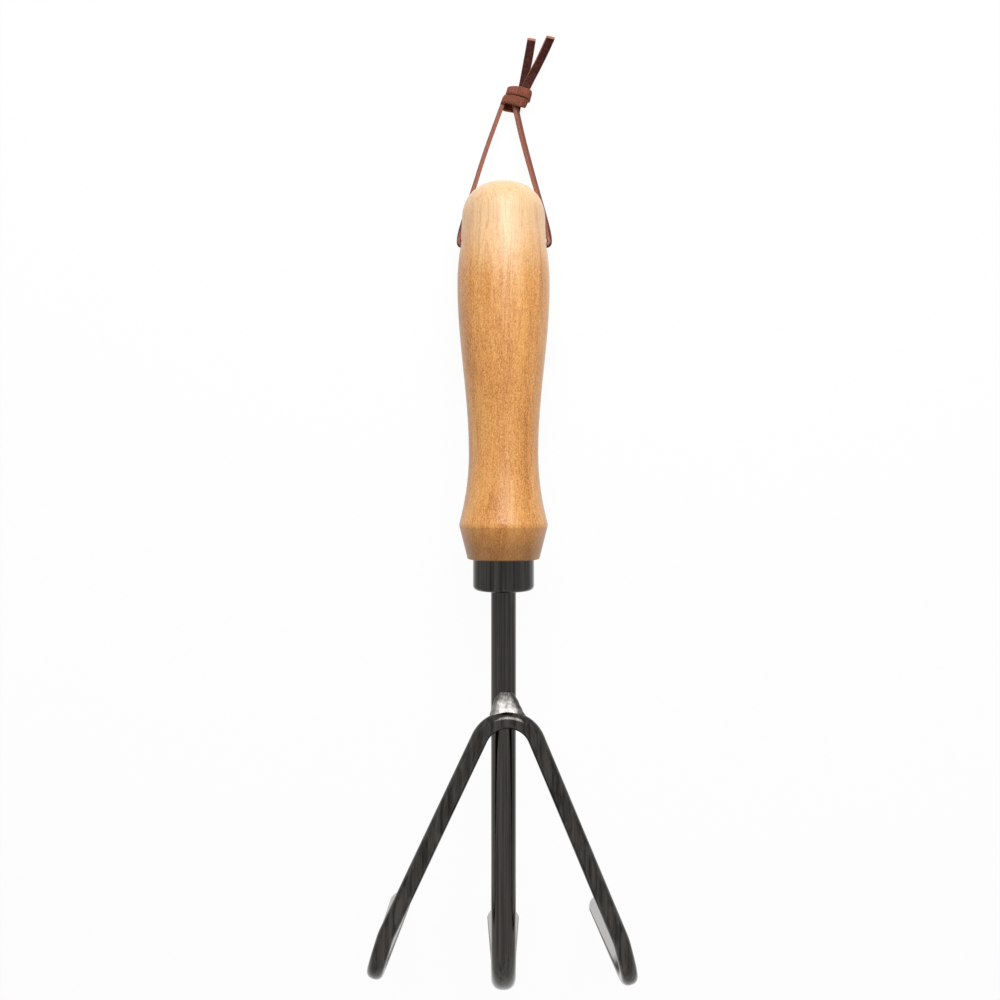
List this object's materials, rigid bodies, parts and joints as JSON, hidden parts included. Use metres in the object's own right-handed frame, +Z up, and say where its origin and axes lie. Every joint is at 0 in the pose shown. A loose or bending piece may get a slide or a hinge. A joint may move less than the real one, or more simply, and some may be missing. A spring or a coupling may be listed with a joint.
{
  "type": "hand rake",
  "caption": "Hand cultivator with a turned wooden handle, a steel ferrule, hooked and flattened steel tines and a leather hanging lace, for loosening and raking soil.",
  "frame": {"origin": "on the table under the middle of the tool's box, the lace left out, with the tool resting on its prong tips and the butt of its handle", "axes": "+X along the tool towards the tines, +Y across, +Z up from the table"},
  "size_m": [0.3528, 0.0972, 0.0617],
  "materials": {
    "wood": "satin",
    "ferrule_steel": "polished stainless steel",
    "tine_steel": "polished stainless steel",
    "weld_steel": "as welded",
    "glue": "cured epoxy",
    "leather": "waxed, worn on the folds"
  },
  "bodies": {
    "root": {"handle": "wood", "ferrule": "ferrule_steel", "tang_glue": "glue", "middle_tine": "tine_steel", "outer_tines": "tine_steel", "weld_bead": "weld_steel", "lace_left": "leather", "lace_right": "leather", "lace_knot": "leather", "lace_tail_short": "leather", "lace_tail_long": "leather"}
  },
  "joints": []
}
